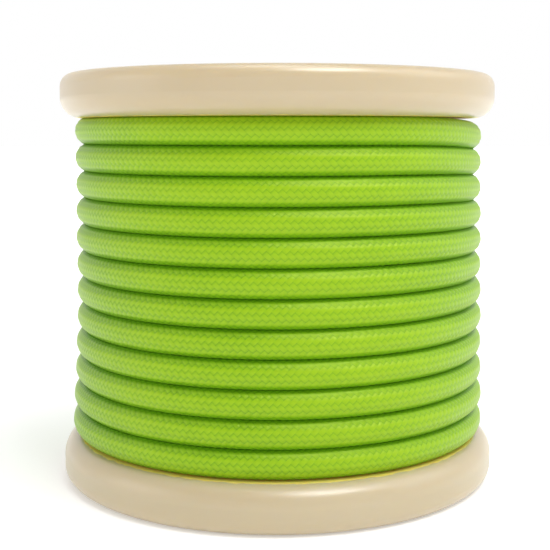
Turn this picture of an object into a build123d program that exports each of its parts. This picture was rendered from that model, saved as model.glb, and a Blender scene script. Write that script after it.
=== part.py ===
"""A cord spool: two bull-nosed flanges on a snap-fitted barrel, wound with three layers of braided cord.

Millimetres, +Z up along the spool's axis. The origin is on that axis, on the face that the spool stands on,
and -Y is the front. The cord runs clockwise as seen from above: in through a window in the barrel, up, down
and up again in three layers, and out through a slot in the top flange, where its end lies in the flange's dish.
"""
import os
from math import acos, cos, degrees, radians, sin, tan

from build123d import *

# Cord and winding
cord_diameter = 6.0
turn_gap = 0.03             # daylight between two turns of a layer
turns_per_layer = 12
layer_count = 3
nest_angle = 30.0           # a turn lies in the groove of the layer below, this far round each of its two turns
nest_slack = 0.128          # how much less deep than that it lies
turn_crown = 0.25           # how far the lowest turns stand proud of the layer
groove_depth = 1.2          # of the winding's solid, between two turns
winding_clearance = 0.15    # between the barrel and the winding's solid

# Flanges, one moulding used twice
flange_diameter = 100.0
flange_lip = 3.3            # from the outermost layer's surface out to the flange's edge
web_thickness = 2.6
dish_margin = 0.4           # left over in the dish's depth above the cord's outer end
rim_wall = 3.1
inner_edge_radius = 4.6     # the bull nose, on the winding's side
outer_edge_radius = 2.9     # the bull nose, on the outer side
dish_edge_radius = 0.8
bore_diameter = 16.0
hub_wall = 5.0
hub_edge = 0.6
rib_count = 8
rib_width = 2.2
rib_angle = 22.5            # of the first rib
rib_height = 2.0
channel_clearance = 0.6     # between the cord's sleeve and the inner wall of its channel
slot_clearance = 0.6        # between the cord and the end wall of the flange's slot

# Barrel and its snap fingers
barrel_wall = 2.5
fit_clearance = 0.1
finger_count = 3
finger_sweep = 60.0         # degrees of the barrel that one finger takes
finger_wall = 2.2
finger_height = 8.0
nose_sweep = 24.0           # degrees of the finger that its snap nose takes
nose_height = 2.0
nose_reach = 1.4
nose_rise = 3.5             # from the flange to the underside of the nose
window_clearance = 0.25     # above and below a nose, in its window
window_slack = 1.0          # degrees that a window is wider than its nose
start_window_clearance = 0.6
start_window_lead = 1.0      # degrees of the window ahead of the point where the cord leaves its layer
start_window_margin = 7.9    # degrees of the window past the place where the cord crosses the barrel

# Arbor tube and its sockets
arbor_wall = 2.0
socket_wall = 2.4
socket_height = 6.0

# The cord's two ends
sleeve_wall = 0.45
sleeve_length = 9.0
sleeve_end = 0.8
sleeve_clearance = 0.05
start_bend_sweep = 85.0     # of the inner end, where it turns in through the barrel
start_straight = 16.0
start_share = 0.536         # of the way from the socket out to the snap fingers, where the straight lies
start_finger_room = 2.17    # degrees from the sleeve on the straight to the next snap finger
tail_angle = 165.0          # of the point where the outer end leaves its layer
tail_step = 22.0            # degrees between the points of the outer end's route
tail_climb_steps = 3        # how many of them the slot is long
tail_level_steps = 3        # how many of them lie level in the dish
tail_inset = 1.0            # how far inside the last layer those lie
run_share = 0.45            # of the shorter run, that a corner's arc takes

# Sizes that follow
flange_radius = flange_diameter / 2
bore_radius = bore_diameter / 2
cord_radius = cord_diameter / 2
sleeve_inner_radius = cord_radius + sleeve_clearance
sleeve_radius = sleeve_inner_radius + sleeve_wall
turn_pitch = cord_diameter + turn_gap
layer_step = turn_pitch * cos(radians(nest_angle)) + nest_slack
last_layer_radius = flange_radius - flange_lip - cord_radius
first_layer_radius = last_layer_radius - (layer_count - 1) * layer_step
barrel_radius = first_layer_radius - cord_radius
barrel_inner_radius = barrel_radius - barrel_wall
winding_radius = last_layer_radius + cord_radius + turn_crown
traverse = turns_per_layer * turn_pitch
flange_thickness = web_thickness + 2 * sleeve_radius + dish_margin
spool_height = traverse + 2 * flange_thickness
dish_radius = flange_radius - rim_wall
hub_radius = bore_radius + hub_wall
finger_outer_radius = barrel_inner_radius - fit_clearance
finger_inner_radius = finger_outer_radius - finger_wall
arbor_radius = bore_radius + arbor_wall
socket_inner_radius = arbor_radius + fit_clearance
socket_outer_radius = socket_inner_radius + socket_wall
tail_radius = last_layer_radius - tail_inset
tail_inner_reach = tail_radius * cos(radians(tail_step / 2))
ring_outer_radius = tail_inner_reach - sleeve_radius - channel_clearance
ring_inner_radius = ring_outer_radius - rib_width
inner_end_height = flange_thickness + sleeve_radius + fit_clearance
last_turn_height = flange_thickness + traverse - turn_pitch / 2
dish_floor_height = flange_thickness + traverse + web_thickness
tail_height = dish_floor_height + sleeve_radius + fit_clearance
mid_height = spool_height / 2
finger_angles = [90 + i * 360 / finger_count for i in range(finger_count)]

os.makedirs("parts", exist_ok=True)


def polar(radius, angle, height):
    """The point at a radius, an angle in degrees and a height."""
    return Vector(radius * cos(radians(angle)), radius * sin(radians(angle)), height)


def corner_radii(points):
    """The arc at each inner point of a route, as large as the two runs beside it allow."""
    radii = []
    for before, corner, after in zip(points, points[1:], points[2:]):
        half_turn = (corner - before).get_angle(after - corner) / 2
        shorter_run = min((corner - before).length, (after - corner).length)
        radii.append(run_share * shorter_run / tan(radians(half_turn)))
    return radii


def sector_edges(inner, outer, middle_angle, sweep):
    """The outline of a stretch of a ring, centred on an angle in degrees."""
    start = middle_angle - sweep / 2
    with BuildLine() as outline:
        inner_arc = CenterArc((0, 0), inner, start, sweep)
        outer_arc = CenterArc((0, 0), outer, start, sweep)
        Line(inner_arc @ 0, outer_arc @ 0)
        Line(inner_arc @ 1, outer_arc @ 1)
    return outline.edges()


# Inner end's bend: its straight lies between the socket and the snap fingers, and stops short of a finger
start_reach = socket_outer_radius + start_share * (finger_inner_radius - socket_outer_radius)
bend_cosine = cos(radians(start_bend_sweep))
start_bend_radius = (start_reach - first_layer_radius * bend_cosine) / (1 - bend_cosine)
straight_to_finger = degrees(acos((start_reach + sleeve_radius) / finger_inner_radius))
next_finger_angle = finger_angles[1] - finger_sweep / 2
start_angle = next_finger_angle - start_finger_room + straight_to_finger - start_bend_sweep
bend_centre_radius = first_layer_radius - start_bend_radius
bend_outer_radius = start_bend_radius + cord_radius
crossing_cosine = (bend_centre_radius**2 + barrel_inner_radius**2 - bend_outer_radius**2) / (
    2 * bend_centre_radius * barrel_inner_radius
)
start_crossing = degrees(acos(crossing_cosine))     # from leaving the layer to crossing the barrel


# Top flange: a dish with a bull-nosed rim, low ribs, a hub, a socket for the arbor tube, three snap fingers
# for the barrel, and a slot that lets the cord's outer end up into the dish
inner_face = flange_thickness + traverse
web_face = inner_face + web_thickness
slot_inner_radius = tail_inner_reach - cord_radius - slot_clearance
slot_sweep = tail_climb_steps * tail_step
slot_middle_angle = tail_angle - run_share * tail_step - slot_sweep / 2

with BuildPart() as top_flange:
    with BuildSketch(Plane.XY.offset(inner_face)):
        Circle(flange_radius)
    extrude(amount=flange_thickness)
    fillet(top_flange.edges().group_by(Axis.Z)[0], inner_edge_radius)
    fillet(top_flange.edges().group_by(Axis.Z)[-1], outer_edge_radius)
    with BuildSketch(Plane.XY.offset(spool_height)):
        Circle(dish_radius)
        Circle(hub_radius, mode=Mode.SUBTRACT)
    extrude(amount=web_thickness - flange_thickness, mode=Mode.SUBTRACT)
    floor = top_flange.faces().filter_by(Plane.XY).filter_by_position(Axis.Z, web_face, web_face)
    fillet(floor.edges().group_by(Edge.length)[-1], dish_edge_radius)
    with BuildSketch(Plane.XY.offset(web_face)):
        Circle(ring_outer_radius)
        Circle(ring_inner_radius, mode=Mode.SUBTRACT)
        with PolarLocations(hub_radius - rib_width / 2, rib_count, rib_angle):
            Rectangle(ring_inner_radius - hub_radius + rib_width, rib_width, align=(Align.MIN, Align.CENTER))
    extrude(amount=rib_height)
    with BuildSketch(Plane.XY.offset(inner_face)):
        Circle(socket_outer_radius)
        Circle(socket_inner_radius, mode=Mode.SUBTRACT)
    extrude(amount=-socket_height)
    with BuildSketch(Plane.XY.offset(inner_face)):
        for angle in finger_angles:
            make_face(sector_edges(finger_inner_radius, finger_outer_radius, angle, finger_sweep))
    extrude(amount=-finger_height)
    with BuildSketch(Plane.XY.offset(inner_face - nose_rise)):
        for angle in finger_angles:
            make_face(sector_edges(finger_inner_radius, finger_outer_radius + nose_reach, angle, nose_sweep))
    extrude(amount=-nose_height)
    with BuildSketch(Plane.XY.offset(inner_face)):
        make_face(sector_edges(slot_inner_radius, dish_radius, slot_middle_angle, slot_sweep))
    extrude(amount=web_thickness, mode=Mode.SUBTRACT)
    with BuildSketch(Plane.XY.offset(spool_height)):
        Circle(bore_radius)
    extrude(amount=-flange_thickness, mode=Mode.SUBTRACT)
    hub_edges = top_flange.edges().filter_by(GeomType.CIRCLE).group_by(Axis.Z)[-1]
    chamfer(hub_edges.sort_by(Edge.length)[0], hub_edge)
top_flange.part.label = "top_flange"
export_step(top_flange.part, "parts/top_flange.step")


# Bottom flange: the same moulding, turned over
with BuildPart() as bottom_flange:
    add(top_flange.part.rotate(Axis((0, 0, mid_height), (0, 1, 0)), 180))
bottom_flange.part.label = "bottom_flange"
export_step(bottom_flange.part, "parts/bottom_flange.step")


# Barrel: a tube between the flanges, with a window for each snap nose and one for the cord's inner end
window_height = nose_height + 2 * window_clearance
start_window_sweep = start_window_lead + start_crossing + start_window_margin
start_window_angle = start_angle - start_window_lead + start_window_sweep / 2
start_window_height = cord_diameter + 2 * start_window_clearance

with BuildPart() as barrel:
    with BuildSketch(Plane.XY.offset(flange_thickness)):
        Circle(barrel_radius)
        Circle(barrel_inner_radius, mode=Mode.SUBTRACT)
    extrude(amount=traverse)
    for height in (flange_thickness + nose_rise, inner_face - nose_rise - nose_height):
        with BuildSketch(Plane.XY.offset(height - window_clearance)):
            for angle in finger_angles:
                make_face(sector_edges(bore_radius, flange_radius, angle, nose_sweep + window_slack))
        extrude(amount=window_height, mode=Mode.SUBTRACT)
    with BuildSketch(Plane.XY.offset(flange_thickness)):
        make_face(sector_edges(bore_radius, flange_radius, start_window_angle, start_window_sweep))
    extrude(amount=start_window_height, mode=Mode.SUBTRACT)
barrel.part.label = "barrel"
export_step(barrel.part, "parts/barrel.step")


# Arbor tube: carries the bore from one hub to the other
with BuildPart() as arbor_tube:
    with BuildSketch(Plane.XY.offset(flange_thickness)):
        Circle(arbor_radius)
        Circle(bore_radius, mode=Mode.SUBTRACT)
    extrude(amount=traverse)
arbor_tube.part.label = "arbor_tube"
export_step(arbor_tube.part, "parts/arbor_tube.step")


# The cord's inner end: it leaves the first layer, turns in through the barrel's window and ends inside
with BuildPart() as cord_inner_end:
    with BuildLine() as inner_route:
        layer_point = polar(first_layer_radius, start_angle, inner_end_height)
        layer_tangent = polar(1, start_angle + 90, 0)
        bend = JernArc(layer_point, layer_tangent, start_bend_radius, start_bend_sweep)
        Line(bend @ 1, bend @ 1 + (bend % 1) * start_straight)
    with BuildSketch(Plane(inner_route.wire() @ 0, z_dir=inner_route.wire() % 0)):
        Circle(cord_radius)
    sweep()
cord_inner_end.part.label = "cord_inner_end"
export_step(cord_inner_end.part, "parts/cord_inner_end.step")


# The cord's outer end: it leaves the last turn, climbs through the top flange's slot and lies in the dish
climb = [(last_layer_radius, last_turn_height)] * 2
climb += [((last_layer_radius + tail_radius) / 2, (last_turn_height + tail_height) / 2)]
climb += [(tail_radius, tail_height)] * (1 + tail_level_steps)
tail_points = [polar(radius, tail_angle - i * tail_step, height) for i, (radius, height) in enumerate(climb)]
tail_radii = corner_radii(tail_points)

with BuildPart() as cord_outer_end:
    with BuildLine() as outer_route:
        FilletPolyline(*tail_points, radius=tail_radii)
    with BuildSketch(Plane(outer_route.wire() @ 0, z_dir=outer_route.wire() % 0)):
        Circle(cord_radius)
    sweep()
cord_outer_end.part.label = "cord_outer_end"
export_step(cord_outer_end.part, "parts/cord_outer_end.step")


# Shrink sleeves: a cup on each cut end, which keeps the braid from fraying
for sleeve_name, route in (("inner_end_sleeve", inner_route), ("outer_end_sleeve", outer_route)):
    tip = Plane(route.wire() @ 1, z_dir=route.wire() % 1)
    with BuildPart() as end_sleeve:
        with BuildSketch(tip.offset(sleeve_end)):
            Circle(sleeve_radius)
        extrude(amount=-sleeve_length - sleeve_end)
        with BuildSketch(tip):
            Circle(sleeve_inner_radius)
        extrude(amount=-sleeve_length, mode=Mode.SUBTRACT)
    end_sleeve.part.label = sleeve_name
    export_step(end_sleeve.part, f"parts/{sleeve_name}.step")


# Winding: the outer shape of the three layers, grooved between the turns of the outermost, with the places
# of the two ends left out
with BuildPart() as cord_winding:
    with BuildSketch(Plane.XZ):
        with BuildLine():
            inner_low = (barrel_radius + winding_clearance, flange_thickness)
            inner_high = (barrel_radius + winding_clearance, inner_face)
            groove_radius = winding_radius - groove_depth
            for turn in range(turns_per_layer):
                low = flange_thickness + turn * turn_pitch
                ThreePointArc(
                    (groove_radius, low),
                    (winding_radius, low + turn_pitch / 2),
                    (groove_radius, low + turn_pitch),
                )
            Polyline((groove_radius, flange_thickness), inner_low, inner_high, (groove_radius, inner_face))
        make_face()
    revolve(axis=Axis.Z)
    add(cord_inner_end.part, mode=Mode.SUBTRACT)
    add(cord_outer_end.part, mode=Mode.SUBTRACT)
cord_winding.part.label = "cord_winding"
export_step(cord_winding.part, "parts/cord_winding.step")


print("inner end's bend radius and angle:", round(start_bend_radius, 3), round(start_angle, 3))
print("outer end's bend radii:", [round(radius, 1) for radius in tail_radii])
for end, route in ((cord_inner_end, inner_route), (cord_outer_end, outer_route)):
    route_volume = route.wire().length * Circle(cord_radius).area
    print(end.part.label, "length", round(route.wire().length, 2), "volume", round(end.part.volume, 1),
          "of", round(route_volume, 1))
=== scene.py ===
"""The cord spool's looks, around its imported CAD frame. Metres, +Z up along the spool's axis, -Y the front.

The braid is geometry: each outer turn is a sleeve whose mesh runs along the braid's own strands, so that a
strand's edges are mesh edges. The sleeves follow the line of one NURBS curve, which is the whole wound cord.
"""
import math

import bpy
import numpy as np
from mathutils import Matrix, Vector


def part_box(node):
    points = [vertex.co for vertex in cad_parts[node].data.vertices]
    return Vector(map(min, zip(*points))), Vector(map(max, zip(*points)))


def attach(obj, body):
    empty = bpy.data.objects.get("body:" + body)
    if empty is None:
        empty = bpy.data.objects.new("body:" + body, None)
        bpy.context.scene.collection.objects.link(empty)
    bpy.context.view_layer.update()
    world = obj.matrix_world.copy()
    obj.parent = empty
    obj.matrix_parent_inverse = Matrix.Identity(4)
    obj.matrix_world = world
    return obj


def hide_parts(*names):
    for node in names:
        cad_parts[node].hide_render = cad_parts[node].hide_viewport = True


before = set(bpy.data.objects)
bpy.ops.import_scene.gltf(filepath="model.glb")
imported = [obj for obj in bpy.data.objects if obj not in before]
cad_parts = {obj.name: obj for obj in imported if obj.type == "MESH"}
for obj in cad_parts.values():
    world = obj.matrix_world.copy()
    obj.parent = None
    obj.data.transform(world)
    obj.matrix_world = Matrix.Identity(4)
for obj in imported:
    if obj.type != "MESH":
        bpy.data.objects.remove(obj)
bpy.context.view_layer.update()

MM = 0.001
TAU = 2 * math.pi

# ---- sizes, read from the frame
barrel_low, barrel_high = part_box("barrel")
end_low, end_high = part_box("cord_inner_end")
tail_low, tail_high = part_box("cord_outer_end")
BARREL_RADIUS = (barrel_high[0] - barrel_low[0]) / 2
CORD_DIAMETER = end_high[2] - end_low[2]
CORD_RADIUS = CORD_DIAMETER / 2
WINDING_FOOT = barrel_low[2]
WINDING_HEAD = barrel_high[2]
TURNS = 12                                  # in the outer layer, as counted on the photograph
TURN_PITCH = (WINDING_HEAD - WINDING_FOOT) / TURNS

# ---- the winding
LAYER_STEP = 5.35 * MM
LAYER_TURNS = (TURNS, TURNS - 1, TURNS)     # the middle layer lies in the grooves of the first
INNER_TURNS = sum(LAYER_TURNS[:-1])         # turns wound before the outer layer
POINTS_PER_TURN = 24
BACK_ANGLE = 90                             # where a turn steps up to the next one
STEP_SHARE = 0.14                           # of a turn, each side of the back, that the step takes
LIFT = 0.15 * MM                            # how much higher than the CAD's turns the outer ones lie
PRESSED_OUT = 0.3 * MM                      # how much fuller than the cord the outer turns are drawn;
                                            # where they touch they are flat
PRESSED = 0.99                              # of full pressing, from which a turn is kept between the flanges
PRESSING_LENGTH = 20 * MM                   # of cord, over which the pressing begins and ends
LEFT_BULGES = (1.3, 1.0, 0.7, 0.4)          # mm, of the lowest outer turns
RIGHT_BULGES = (1.2, 0.4)                   # mm, of the lowest and the highest outer turn
RIGHT_SAG = 0.2 * MM                        # how much closer together the upper outer turns lie on the right
SAGGING_FROM = 4.5                          # outer turns up
SAG_EDGE = 3                                # more keeps the sag nearer the right-hand edge
WAVER = 0.06 * MM                           # unevenness of the outer turns
WAVERS = 2                                  # round each turn
WAVER_SHIFT = 1.9                           # radians from one turn to the next

# ---- the cord's ends, as in the CAD
START_ANGLE = 118
START_BEND_RADIUS = 18 * MM
START_BEND_SWEEP = 85
START_BEND_POINTS = 3
START_STRAIGHT = 16 * MM
TAIL_ANGLE = 165
TAIL_STEP = 22
TAIL_INSET = 1.0 * MM
TAIL_LEVEL_STEPS = 3

# ---- the flanges' golden ring under the winding, a painted reflection of the cord and a painted glow of light through the plastic
SEAT_RADIUS = 46.5 * MM
SEAT_FADE = 0.3 * MM
SEAT_RAGGEDNESS = 0.8 * MM
SEAT_DEPTH = 1.5 * MM                       # how far into each flange the colour goes

# ---- the braid
CARRIERS = 14                               # strands each way round the cord
STRAND_PITCH = 1.43 * MM                    # along the cord
STRAND_CUTS = 4                             # mesh steps across one strand
RING_SPACING = STRAND_PITCH / STRAND_CUTS / 2
COORDINATE_SHIFT = 64.0                     # whole strands, which keep the braid's coordinates positive
STRAND_LIFT = 0.12 * MM
STRAND_CROWN = 0.03 * MM
CROWN_POWER = 4                             # 2 is a round strand, more is a flatter one
CORE_SLACK = 0.1 * MM                       # between the lowest points of the braid and the core
WOUND_SHARE = 0.8                           # of the cord's radius past the barrel: there the winding begins


def polar(radius, angle, height):
    a = math.radians(angle)
    return np.array((radius * math.cos(a), radius * math.sin(a), height))


def smooth_step(x):
    x = np.clip(x, 0.0, 1.0)
    return x * x * (3 - 2 * x)


# ---------------------------------------------------------------- camera
LENS = 71.3                                 # mm, on a sensor 36 mm wide
LENS_SHIFT = (-0.022, -0.105)
CAMERA_DISTANCE = 256.8 * MM                # from the spool's axis
EYE_LEVEL = 78.9 * MM
LOOK_DOWN = 4.4                             # degrees
LOOK_ASIDE = -0.5


def make_camera():
    """Eye level near the top flange, looking a little down; the lens shift keeps the spool in the frame."""
    data = bpy.data.cameras.new("camera")
    data.sensor_width = 36
    data.lens = LENS
    data.shift_x, data.shift_y = LENS_SHIFT
    data.clip_start, data.clip_end = 0.01, 20
    camera = bpy.data.objects.new("camera", data)
    bpy.context.scene.collection.objects.link(camera)
    camera.location = (0, -CAMERA_DISTANCE, EYE_LEVEL)
    camera.rotation_euler = (math.radians(90 - LOOK_DOWN), 0, math.radians(LOOK_ASIDE))
    bpy.context.scene.camera = camera


# ---------------------------------------------------------------- the cord's route
def turn_rings():
    """Radius and height of each turn's level stretch, from the barrel outwards."""
    rings = []
    lowest, highest = WINDING_FOOT + TURN_PITCH / 2, WINDING_HEAD - TURN_PITCH / 2
    for layer, turns in enumerate(LAYER_TURNS):
        radius = BARREL_RADIUS + CORD_RADIUS + layer * LAYER_STEP
        if layer == len(LAYER_TURNS) - 1:
            radius -= PRESSED_OUT
        for i in range(turns):
            climbed = (i + (TURNS - turns) / 2) * TURN_PITCH
            rings.append((radius, lowest + climbed if layer % 2 == 0 else highest - climbed))
    return np.array(rings)


def cord_route():
    """Control points of the whole cord: its inner end, three layers of turns, and its outer end."""
    rings = turn_rings()
    circle_to_corner = 1 / math.cos(math.pi / POINTS_PER_TURN)
    points = inner_end_points()
    first = (BACK_ANGLE - START_ANGLE) / 360
    last = len(rings) + (BACK_ANGLE - TAIL_ANGLE) / 360
    for turn in np.arange(first, last, 1 / POINTS_PER_TURN):
        here = min(max(math.floor(turn + 0.5), 1), len(rings) - 1)
        step = float(smooth_step((turn - here + STEP_SHARE) / (2 * STEP_SHARE)))
        radius, height = rings[here - 1] * (1 - step) + rings[here] * step
        angle = BACK_ANGLE - 360 * turn
        outer_turn = turn - INNER_TURNS
        if outer_turn > STEP_SHARE:
            outwards, downwards = outer_unevenness(outer_turn, angle)
            radius += outwards
            height += LIFT - downwards
        points.append(polar(radius * circle_to_corner, angle, height))
    return points + outer_end_points()


def outer_unevenness(outer_turn, angle):
    """How far a point of the outermost layer stands out from a true circle, and how far it sags."""
    number = int(outer_turn)
    leftward = max(-math.cos(math.radians(angle)), 0) ** 2
    rightward = max(math.cos(math.radians(angle)), 0) ** 2
    left = LEFT_BULGES[number] if number < len(LEFT_BULGES) else 0
    right = RIGHT_BULGES[0] + (RIGHT_BULGES[1] - RIGHT_BULGES[0]) * number / (TURNS - 1)
    waver = WAVER * math.sin(math.radians(WAVERS * angle) + WAVER_SHIFT * number)
    sag = RIGHT_SAG * max(number - SAGGING_FROM, 0) * rightward**SAG_EDGE
    return (left * leftward + right * rightward) * MM + waver, sag


def inner_end_points():
    """From the free end inside the barrel, round the bend, to the first layer."""
    first_radius = BARREL_RADIUS + CORD_RADIUS
    height = (end_low[2] + end_high[2]) / 2
    centre = polar(first_radius - START_BEND_RADIUS, START_ANGLE, height)
    half = START_BEND_SWEEP / START_BEND_POINTS / 2
    corner_radius = START_BEND_RADIUS / math.cos(math.radians(half))
    corners = [
        centre + polar(corner_radius, START_ANGLE + half * (2 * i + 1), 0) for i in range(START_BEND_POINTS)
    ]
    bend_end = centre + polar(START_BEND_RADIUS, START_ANGLE + START_BEND_SWEEP, 0)
    ahead = polar(1, START_ANGLE + START_BEND_SWEEP + 90, 0)
    free_end = bend_end + ahead * START_STRAIGHT
    return [free_end, bend_end + ahead * START_STRAIGHT / 2] + corners[::-1]


def outer_end_points():
    """From the last turn up through the flange's slot, and along the dish to the free end."""
    radius = BARREL_RADIUS + CORD_RADIUS + (len(LAYER_TURNS) - 1) * LAYER_STEP
    low, high = tail_low[2] + CORD_RADIUS, tail_high[2] - CORD_RADIUS
    climb = [(radius, low)] * 2 + [(radius - TAIL_INSET / 2, (low + high) / 2)]
    climb += [(radius - TAIL_INSET, high)] * (1 + TAIL_LEVEL_STEPS)
    return [polar(r, TAIL_ANGLE - i * TAIL_STEP, z) for i, (r, z) in enumerate(climb)]


def make_cord_curve(points):
    data = bpy.data.curves.new("cord_core", "CURVE")
    data.dimensions = "3D"
    data.resolution_u = 6
    spline = data.splines.new("NURBS")
    spline.points.add(len(points) - 1)
    for target, point in zip(spline.points, points):
        target.co = (*point, 1)
    spline.order_u = 3
    spline.use_endpoint_u = True
    cord = bpy.data.objects.new("cord_core", data)
    bpy.context.scene.collection.objects.link(cord)
    bpy.context.view_layer.update()
    return cord


def centre_line(cord):
    """The points along the cord's own line, and their distances along it."""
    mesh = bpy.data.meshes.new_from_object(cord.evaluated_get(bpy.context.evaluated_depsgraph_get()))
    points = np.empty(len(mesh.vertices) * 3)
    mesh.vertices.foreach_get("co", points)
    bpy.data.meshes.remove(mesh)
    points = points.reshape(-1, 3)
    along = np.concatenate(([0], np.cumsum(np.linalg.norm(np.diff(points, axis=0), axis=1))))
    return points, along


# ---------------------------------------------------------------- braid geometry
def braid_height(x, y):
    """Relief of the braid; x along and y round the cord, both in strand pitches. One set of strands leans
    forwards and the other back, and each strand goes over two of the other set and then under two."""
    forward, backward = x - y, x + y
    a, b = np.floor(forward), np.floor(backward)
    a_over = (b - a) % 4 < 2
    along_a = (backward - a) % 4
    along_b = (forward - b + 3) % 4
    across = np.where(a_over, forward - a, backward - b)
    arch = np.sin(math.pi / 2 * np.where(a_over, along_a, along_b))
    return STRAND_CROWN * (1 - np.abs(2 * across - 1) ** CROWN_POWER) + STRAND_LIFT * np.maximum(arch, 0)


def braid_sleeve(name, line, along, first, last, pressed, material):
    """A stretch of braid from ring number first to ring number last. Each ring is half a mesh step past the
    ring before it, and turned by half a step, so that the faces are diamonds with edges along the strands."""
    per_ring = CARRIERS * STRAND_CUTS
    ring = np.arange(first, last + 1)
    distance = ring * RING_SPACING
    centre = sample(line, along, distance)
    tangent = sample(line, along, distance + MM) - sample(line, along, distance - MM)
    tangent /= np.linalg.norm(tangent, axis=1, keepdims=True)
    up = np.array((0.0, 0.0, 1.0)) - tangent * tangent[:, 2:3]
    up /= np.linalg.norm(up, axis=1, keepdims=True)
    side = np.cross(tangent, up)
    step = np.arange(per_ring) + 0.5 * (ring[:, None] % 2)
    x = np.broadcast_to(ring[:, None] / (2.0 * STRAND_CUTS), step.shape)
    y = step / STRAND_CUTS
    angle = step / per_ring * TAU
    crest = STRAND_LIFT + STRAND_CROWN
    radius = CORD_RADIUS + PRESSED_OUT * pressed(distance)[:, None] + braid_height(x, y) - crest
    outwards = (radius * np.cos(angle))[..., None]
    upwards = np.clip(radius * np.sin(angle), -TURN_PITCH / 2, TURN_PITCH / 2)[..., None]
    verts = centre[:, None] + outwards * side[:, None] + upwards * up[:, None]
    between = np.clip(verts[..., 2], WINDING_FOOT, WINDING_HEAD)
    verts[..., 2] = np.where(pressed(distance)[:, None] > PRESSED, between, verts[..., 2])
    return sleeve_mesh(name, verts, ring, x, y, per_ring, material)


def sample(line, along, distance):
    return np.stack([np.interp(distance, along, line[:, axis]) for axis in range(3)], axis=1)


def sleeve_mesh(name, verts, ring, x, y, per_ring, material):
    """The sleeve as an object, with the braid's own coordinates, x and y, as its UV map."""
    rings = len(ring)
    number = np.arange(rings * per_ring).reshape(rings, per_ring)
    column = np.arange(per_ring)
    faces = []
    for parity in (0, 1):
        k = np.nonzero(ring[:-2] % 2 == parity)[0]
        right = (column + parity) % per_ring
        left = (column - 1 + parity) % per_ring
        near, far = number[k][:, column], number[k + 2][:, column]
        quad = [near, number[k + 1][:, right], far, number[k + 1][:, left]]
        faces.append(np.stack(quad, axis=-1).reshape(-1, 4))
    faces = np.concatenate(faces)
    ends = end_triangles(number, ring, per_ring)
    loops = np.concatenate((faces.reshape(-1), ends.reshape(-1)))
    starts = np.concatenate((np.arange(len(faces)) * 4, len(faces) * 4 + np.arange(len(ends)) * 3))
    mesh = bpy.data.meshes.new(name)
    mesh.vertices.add(rings * per_ring)
    mesh.vertices.foreach_set("co", verts.reshape(-1).astype(np.float32))
    mesh.loops.add(len(loops))
    mesh.loops.foreach_set("vertex_index", loops.astype(np.int32))
    mesh.polygons.add(len(starts))
    mesh.polygons.foreach_set("loop_start", starts.astype(np.int32))
    mesh.update(calc_edges=True)
    mesh.shade_smooth()
    uv = np.stack((x.reshape(-1)[loops], y.reshape(-1)[loops]), axis=-1)
    run_on_past_seam(uv, starts, len(faces))
    layer = mesh.uv_layers.new(name="braid")
    layer.data.foreach_set("uv", uv.reshape(-1).astype(np.float32))
    mesh.materials.append(material)
    sleeve = bpy.data.objects.new(name, mesh)
    bpy.context.scene.collection.objects.link(sleeve)
    return sleeve


def end_triangles(number, ring, per_ring):
    """The half diamonds that make each end of a sleeve a plain ring."""
    column = np.arange(per_ring)
    after = (column + 1) % per_ring
    near = column if ring[0] % 2 == 0 else after
    low = np.stack((number[0][column], number[0][after], number[1][near]), axis=-1)
    near = column if ring[-1] % 2 == 0 else after
    high = np.stack((number[-1][after], number[-1][column], number[-2][near]), axis=-1)
    return np.concatenate((low, high))


def run_on_past_seam(uv, starts, quads):
    """Gives faces that cross the seam round-the-cord coordinates that go on increasing past it."""
    sizes = np.where(np.arange(len(starts)) < quads, 4, 3)
    face_of = np.repeat(np.arange(len(starts)), sizes)
    highest = np.full(len(starts), -np.inf)
    np.maximum.at(highest, face_of, uv[:, 1])
    crossing = highest[face_of] - uv[:, 1] > CARRIERS / 2
    uv[crossing, 1] += CARRIERS


# ---------------------------------------------------------------- materials
OPEN_GREEN_AND_GAP_SHADE = (                              # in the open, from the gaps between strands, in painted shade, to their tops
    (0.0, (0.020, 0.120, 0.001)),
    (0.22, (0.120, 0.310, 0.002)),
    (0.45, (0.225, 0.430, 0.003)),
    (0.80, (0.325, 0.510, 0.005)),
)
PAINTED_SHADE_GREEN = (                              # painted shade, where the braid lies between the turns above and below
    (0.0, (0.008, 0.070, 0.002)),
    (0.6, (0.052, 0.300, 0.006)),
)
IVORY = ((0.25, (0.485, 0.390, 0.235)), (0.75, (0.520, 0.428, 0.275)))
# painted reflection of the green cord and painted glow of light through the plastic, where the winding meets
# each flange
PAINTED_LIGHT_GOLD = (0.95, 0.70, 0.16, 1)
BLACK = ((0.3, (0.012, 0.012, 0.013)), (0.8, (0.03, 0.03, 0.031)))
YARNS = 5                                   # side by side in each strand
EDGE_POWER = 8.0                            # how narrow the painted shade along a strand's edge is
ARCH_POWER = 0.3                            # how suddenly a strand darkens in painted shade where it dives under another
ARCH_SHARE = 0.85                           # of a strand's shading, the rest being its edges
SHADE_OF_GAP = -0.08                        # where on the two green ramps the lowest points lie
SHADE_OF_TOP = 0.60                         # what a strand's top adds to that, and the rest likewise
SHADE_OF_YARN = 0.02
SHADE_OF_BLOTCH = 0.14
SHADE_OF_DRIFT = 0.25
# painted sheen: the set of strands that leans forwards is drawn a little lighter
PAINTED_SHEEN_OF_FORWARD_SET = 0.04
PAINTED_SHADE_POWER = 3.5                          # how narrow the painted shade between turns is
MOST_PAINTED_SHADE = 0.95                          # share of the painted shade right between two turns
NEAR_GLOW = 0.25                            # of the floor, under the spool
FAR_GLOW = 0.65                             # that is added to it far away
FARNESS_PER_METRE = 1.1
LOWEST_ROUGHNESS = 0.28                     # below about 0.274 the denoiser draws thin lines
ROUGHNESS_RANGE = 0.14                      # of the braid


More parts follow.
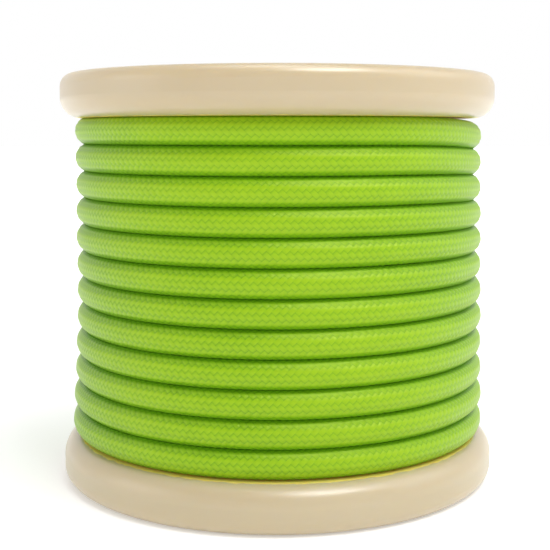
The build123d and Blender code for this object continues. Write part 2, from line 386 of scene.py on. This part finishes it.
class Nodes:
    """Short calls for building one material's node tree."""

    def __init__(self, name):
        self.material = bpy.data.materials.new(name)
        self.material.use_nodes = True
        self.tree = self.material.node_tree
        self.shader = self.tree.nodes["Principled BSDF"]

    def add(self, kind, **settings):
        node = self.tree.nodes.new(kind)
        for key, value in settings.items():
            setattr(node, key, value)
        return node

    def link(self, source, target):
        self.tree.links.new(source, target)

    def put(self, socket, value):
        if hasattr(value, "links"):
            self.link(value, socket)
        else:
            socket.default_value = value

    def math(self, operation, *values):
        node = self.add("ShaderNodeMath", operation=operation)
        for socket, value in zip(node.inputs, values):
            self.put(socket, value)
        return node.outputs[0]

    def noise(self, place, per_metre, detail):
        node = self.add("ShaderNodeTexNoise")
        node.inputs["Scale"].default_value = per_metre
        node.inputs["Detail"].default_value = detail
        self.link(place, node.inputs["Vector"])
        return node.outputs["Fac"]

    def vary(self, value, noise, amount):
        """The value, raised and lowered by a noise that averages a half."""
        return self.math("ADD", value, self.math("MULTIPLY", self.math("SUBTRACT", noise, 0.5), amount))

    def mix_colours(self, factor, when_zero, when_one):
        node = self.add("ShaderNodeMix", data_type="RGBA")
        self.link(factor, node.inputs["Factor"])
        self.put(node.inputs[6], when_zero)
        self.put(node.inputs[7], when_one)
        return node.outputs[2]

    def choose(self, factor, when_one, when_zero):
        node = self.add("ShaderNodeMix", data_type="FLOAT")
        self.link(factor, node.inputs["Factor"])
        self.link(when_zero, node.inputs["A"])
        self.link(when_one, node.inputs["B"])
        return node.outputs["Result"]

    def ramp(self, value, stops):
        node = self.add("ShaderNodeValToRGB")
        while len(node.color_ramp.elements) < len(stops):
            node.color_ramp.elements.new(0.5)
        for element, (position, colour) in zip(node.color_ramp.elements, stops):
            element.position = position
            element.color = (*colour, 1)
        self.link(value, node.inputs["Fac"])
        return node.outputs["Color"]

    def bump(self, height, strength, distance, normal=None):
        node = self.add("ShaderNodeBump")
        node.inputs["Strength"].default_value = strength
        node.inputs["Distance"].default_value = distance
        self.link(height, node.inputs["Height"])
        if normal is not None:
            self.link(normal, node.inputs["Normal"])
        return node.outputs["Normal"]

    def place(self):
        return self.add("ShaderNodeTexCoord").outputs["Object"]

    def finish(self, colour, roughness, normal, constants):
        """The shader's three varying inputs, and then the constant ones by their names."""
        self.link(colour, self.shader.inputs["Base Color"])
        self.link(roughness, self.shader.inputs["Roughness"])
        self.link(normal, self.shader.inputs["Normal"])
        for name, value in constants.items():
            self.shader.inputs[name].default_value = value
        return self.material


def braid_material():
    """Lime green braid: two sets of flat strands, each of several fine silky yarns."""
    m = Nodes("braid")
    uv = m.add("ShaderNodeUVMap", uv_map="braid").outputs["UV"]
    split = m.add("ShaderNodeSeparateXYZ")
    m.link(uv, split.inputs[0])
    x, y = split.outputs[0], split.outputs[1]
    a_over, across, arch = strand_pattern(m, x, y)

    # painted shade: the colour darkens along a strand's edges and where it dives under another
    edge = m.math("ABSOLUTE", m.math("MULTIPLY_ADD", across, 2.0, -1.0))
    crown = m.math("SUBTRACT", 1.0, m.math("POWER", edge, EDGE_POWER))
    arch_part = m.math("MULTIPLY", m.math("POWER", arch, ARCH_POWER), ARCH_SHARE)
    top = m.math("ADD", arch_part, m.math("MULTIPLY", crown, 1 - ARCH_SHARE))
    yarn = m.math("SINE", m.math("MULTIPLY", across, TAU * YARNS))
    place = m.place()
    blotch = m.noise(place, per_metre=220.0, detail=3.0)
    drift = m.noise(place, per_metre=28.0, detail=2.0)

    shade = m.math("MULTIPLY_ADD", top, SHADE_OF_TOP, SHADE_OF_GAP)
    shade = m.math("ADD", shade, m.math("MULTIPLY", yarn, SHADE_OF_YARN))
    shade = m.vary(shade, blotch, SHADE_OF_BLOTCH)
    shade = m.vary(shade, drift, SHADE_OF_DRIFT)
    # painted sheen on the forward set of strands
    shade = m.math("ADD", shade, m.math("MULTIPLY", a_over, PAINTED_SHEEN_OF_FORWARD_SET))
    # painted shade: a deeper green towards the top and bottom of the cord's round, where the turns above and
    # below would shade it
    round_cord = m.math("SINE", m.math("MULTIPLY", y, TAU / CARRIERS))
    painted_shade = m.math("POWER", m.math("ABSOLUTE", round_cord), PAINTED_SHADE_POWER)
    painted_shade_share = m.math("MULTIPLY", painted_shade, MOST_PAINTED_SHADE)
    relief = m.bump(top, strength=0.35, distance=0.10 * MM)

    return m.finish(
        colour=m.mix_colours(painted_shade_share, m.ramp(shade, OPEN_GREEN_AND_GAP_SHADE), m.ramp(shade, PAINTED_SHADE_GREEN)),
        roughness=m.math("MULTIPLY_ADD", blotch, ROUGHNESS_RANGE, LOWEST_ROUGHNESS),
        normal=m.bump(yarn, strength=0.30, distance=0.03 * MM, normal=relief),
        constants={
            "Specular IOR Level": 0.8,
            "Specular Tint": (1.0, 1.0, 0.3, 1),
            "Sheen Weight": 0.05,
            "Sheen Roughness": 0.35,
            "Sheen Tint": (0.85, 1.0, 0.2, 1),
        },
    )


def strand_pattern(m, x, y):
    """braid_height's pattern in nodes: whether the forward set is on top, how far across its strand a point
    lies, from 0 to 1, and how high the strand arches there."""
    forward = m.math("ADD", m.math("SUBTRACT", x, y), COORDINATE_SHIFT)
    backward = m.math("ADD", m.math("ADD", x, y), COORDINATE_SHIFT)
    a, b = m.math("FLOOR", forward), m.math("FLOOR", backward)

    def within_four(value):
        return m.math("MULTIPLY", m.math("FRACT", m.math("MULTIPLY", value, 0.25)), 4.0)

    a_over = m.math("LESS_THAN", within_four(m.math("ADD", m.math("SUBTRACT", b, a), 0.5)), 2.0)
    along_a = within_four(m.math("SUBTRACT", backward, a))
    along_b = within_four(m.math("ADD", m.math("SUBTRACT", forward, b), 3.0))
    across = m.choose(a_over, m.math("SUBTRACT", forward, a), m.math("SUBTRACT", backward, b))
    along = m.choose(a_over, along_a, along_b)
    arch = m.math("MAXIMUM", m.math("SINE", m.math("MULTIPLY", along, math.pi / 2)), 0.0)
    return a_over, across, arch


def painted_light_seat(m, place, plain):
    """Painted reflection and glow: the plastic is painted golden where the winding bears on a flange, for the
    green cord's reflection and light glowing through the plastic, in a ring with an uneven edge.
    """
    split = m.add("ShaderNodeSeparateXYZ")
    m.link(place, split.inputs[0])
    flat = m.add("ShaderNodeCombineXYZ")
    m.link(split.outputs[0], flat.inputs[0])
    m.link(split.outputs[1], flat.inputs[1])
    from_axis = m.add("ShaderNodeVectorMath", operation="LENGTH")
    m.link(flat.outputs[0], from_axis.inputs[0])
    radius = from_axis.outputs["Value"]
    ragged = m.vary(radius, m.noise(place, per_metre=420.0, detail=1.0), SEAT_RAGGEDNESS)
    past_edge = m.math("SUBTRACT", ragged, SEAT_RADIUS)
    inside = m.math("SUBTRACT", 0.5, m.math("DIVIDE", past_edge, SEAT_FADE))
    from_middle = m.math("ABSOLUTE", m.math("SUBTRACT", split.outputs[2], (WINDING_FOOT + WINDING_HEAD) / 2))
    near_face = m.math("LESS_THAN", from_middle, (WINDING_HEAD - WINDING_FOOT) / 2 + SEAT_DEPTH)
    past_barrel = m.math("GREATER_THAN", radius, BARREL_RADIUS + CORD_RADIUS)
    mask = m.math("MULTIPLY", m.math("MULTIPLY", inside, near_face), past_barrel)
    return m.mix_colours(m.math("MINIMUM", m.math("MAXIMUM", mask, 0.0), 1.0), plain, PAINTED_LIGHT_GOLD)


def ivory_material():
    """Glossy, slightly translucent ivory plastic, a little uneven in its tint and gloss."""
    m = Nodes("ivory_plastic")
    place = m.place()
    cloud = m.noise(place, per_metre=14.0, detail=3.0)
    speck = m.noise(place, per_metre=900.0, detail=2.0)
    return m.finish(
        colour=painted_light_seat(m, place, m.ramp(cloud, IVORY)),
        roughness=m.math("MULTIPLY_ADD", cloud, 0.08, LOWEST_ROUGHNESS),
        normal=m.bump(speck, strength=0.06, distance=0.05 * MM),
        constants={
            "Subsurface Weight": 0.5,
            "Subsurface Radius": (1.0, 0.75, 0.4),
            "Subsurface Scale": 0.005,
            "Specular IOR Level": 0.8,
            "Coat Weight": 0.4,
            "Coat Roughness": 0.3,
        },
    )


def sleeve_material():
    """Black shrink sleeve with a finely creased surface."""
    m = Nodes("shrink_sleeve")
    place = m.place()
    crease = m.noise(place, per_metre=1400.0, detail=2.0)
    dust = m.noise(place, per_metre=160.0, detail=2.0)
    return m.finish(
        colour=m.ramp(dust, BLACK),
        roughness=m.math("MULTIPLY_ADD", dust, 0.25, 0.35),
        normal=m.bump(crease, strength=0.2, distance=0.05 * MM),
        constants={},
    )


def floor_material():
    """Plain white with a painted glow: a little under the spool, which lightens the shadow there, and more
    with distance, so that it meets the white sky without a line.
    """
    m = Nodes("floor")
    distance = m.add("ShaderNodeVectorMath", operation="LENGTH")
    m.link(m.place(), distance.inputs[0])
    farness = m.math("MINIMUM", m.math("MULTIPLY", distance.outputs["Value"], FARNESS_PER_METRE), 1.0)
    m.link(m.math("MULTIPLY_ADD", farness, FAR_GLOW, NEAR_GLOW), m.shader.inputs["Emission Strength"])
    m.shader.inputs["Emission Color"].default_value = (1, 1, 1, 1)
    m.shader.inputs["Base Color"].default_value = (0.8, 0.8, 0.8, 1)
    m.shader.inputs["Roughness"].default_value = 0.8
    return m.material


def paint(node, material):
    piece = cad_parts[node]
    for slot in piece.material_slots:
        slot.link = "OBJECT"
        slot.material = material


# ---------------------------------------------------------------- stage
FLOOR_REACH = 6.0                           # metres, each way
SOFT_LIGHTS = (                             # name, place, width, height, power in watts
    ("key", (0.30, -0.34, 0.86), 0.40, 0.30, 3.8),
    ("overhead", (0.02, 0.02, 0.90), 0.60, 0.50, 1.5),
    ("streak", (-0.02, 0.02, 0.95), 0.08, 0.05, 0.15),
    ("right", (0.72, 0.02, 0.66), 0.70, 0.60, 1.6),
    ("left", (-0.85, -0.20, 0.35), 0.50, 0.50, 0.7),
)
SKY_WHITE = (0.26, (1, 1, 1, 1))            # height on the unit sphere, and colour
SKY_GREY = (0.6, (0.6, 0.6, 0.6, 1))


def make_stage():
    mesh = bpy.data.meshes.new("floor")
    corners = [(x * FLOOR_REACH, y * FLOOR_REACH, 0) for x, y in ((-1, -1), (1, -1), (1, 1), (-1, 1))]
    mesh.from_pydata(corners, [], [(0, 1, 2, 3)])
    mesh.materials.append(floor_material())
    floor = bpy.data.objects.new("floor", mesh)
    bpy.context.scene.collection.objects.link(floor)


def make_lights():
    """Soft boxes that all face the middle of the spool."""
    middle = Vector((0, 0, (WINDING_FOOT + WINDING_HEAD) / 2))
    for name, place, width, height, power in SOFT_LIGHTS:
        data = bpy.data.lights.new(name, "AREA")
        data.shape = "RECTANGLE"
        data.size, data.size_y = width, height
        data.energy = power
        light = bpy.data.objects.new(name, data)
        bpy.context.scene.collection.objects.link(light)
        light.location = place
        light.rotation_euler = (middle - Vector(place)).to_track_quat("-Z", "Y").to_euler()


def make_sky():
    """White all round at the horizon, dimmer overhead."""
    world = bpy.data.worlds.new("world")
    world.use_nodes = True
    tree = world.node_tree
    place = tree.nodes.new("ShaderNodeTexCoord")
    split = tree.nodes.new("ShaderNodeSeparateXYZ")
    ramp = tree.nodes.new("ShaderNodeValToRGB")
    for element, (height, colour) in zip(ramp.color_ramp.elements, (SKY_WHITE, SKY_GREY)):
        element.position, element.color = height, colour
    tree.links.new(place.outputs["Generated"], split.inputs[0])
    tree.links.new(split.outputs["Z"], ramp.inputs["Fac"])
    tree.links.new(ramp.outputs["Color"], tree.nodes["Background"].inputs["Color"])
    tree.nodes["Background"].inputs["Strength"].default_value = 1.0
    bpy.context.scene.world = world


# ---------------------------------------------------------------- assembly
def distance_at(turn, line, along):
    """How far along the cord a turn number lies; whole numbers lie at the back."""
    angle = np.unwrap(np.arctan2(line[:, 1], line[:, 0]))
    wound = np.hypot(line[:, 0], line[:, 1]) > BARREL_RADIUS + CORD_RADIUS * WOUND_SHARE
    first = np.nonzero(wound)[0][0]
    turns = (angle[first] - angle) / TAU + (BACK_ANGLE - math.degrees(angle[first])) / 360 % 1 - 1
    turns += round((BACK_ANGLE - START_ANGLE) / 360 - turns[first])
    return np.interp(turn, turns[first:], along[first:])


def make_cord():
    """The whole cord: a plain core from end to end, and the braid round it."""
    braid = braid_material()
    cord = make_cord_curve(cord_route())
    line, along = centre_line(cord)
    cord.data.bevel_depth = CORD_RADIUS - STRAND_LIFT - STRAND_CROWN - CORE_SLACK
    cord.data.bevel_resolution = 2
    cord.data.use_fill_caps = True
    cord.data.materials.append(braid)
    sleeves = make_braid(line, along, braid)
    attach(cord, "root")
    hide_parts("cord_winding", "cord_inner_end", "cord_outer_end")


def make_braid(line, along, material):
    """The braid wherever it is seen: the outer turns, the outer end and a stretch of the middle layer."""
    outer_start = distance_at(INNER_TURNS, line, along)
    tail_start = distance_at(sum(LAYER_TURNS) + (BACK_ANGLE - TAIL_ANGLE) / 360, line, along)

    def pressed(distance):
        reached = smooth_step((distance - outer_start) / PRESSING_LENGTH)
        return reached * (1 - smooth_step((distance - tail_start) / PRESSING_LENGTH))

    turns = [INNER_TURNS - STEP_SHARE] + [INNER_TURNS + i for i in range(1, TURNS)]
    cuts = [distance_at(turn, line, along) for turn in turns] + [tail_start, along[-1]]
    names = [f"braid_turn_{i + 1:02d}" for i in range(TURNS)] + ["braid_tail"]
    stretches = list(zip(names, cuts, cuts[1:]))
    under_top = (LAYER_TURNS[0] - STEP_SHARE, LAYER_TURNS[0] + 1 + STEP_SHARE)
    stretches.append(("braid_under_top", *(distance_at(turn, line, along) for turn in under_top)))
    sleeves = []
    for name, start, end in stretches:
        rings = int(start / RING_SPACING), int(end / RING_SPACING)
        sleeve = braid_sleeve(name, line, along, *rings, pressed, material)
        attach(sleeve, "root")
        sleeves.append(sleeve)
    return sleeves


make_camera()
make_cord()
ivory = ivory_material()
for node in ("top_flange", "bottom_flange", "barrel", "arbor_tube"):
    paint(node, ivory)
black = sleeve_material()
for node in ("inner_end_sleeve", "outer_end_sleeve"):
    paint(node, black)
make_stage()
make_lights()
make_sky()
bpy.context.scene.view_settings.view_transform = "Standard"
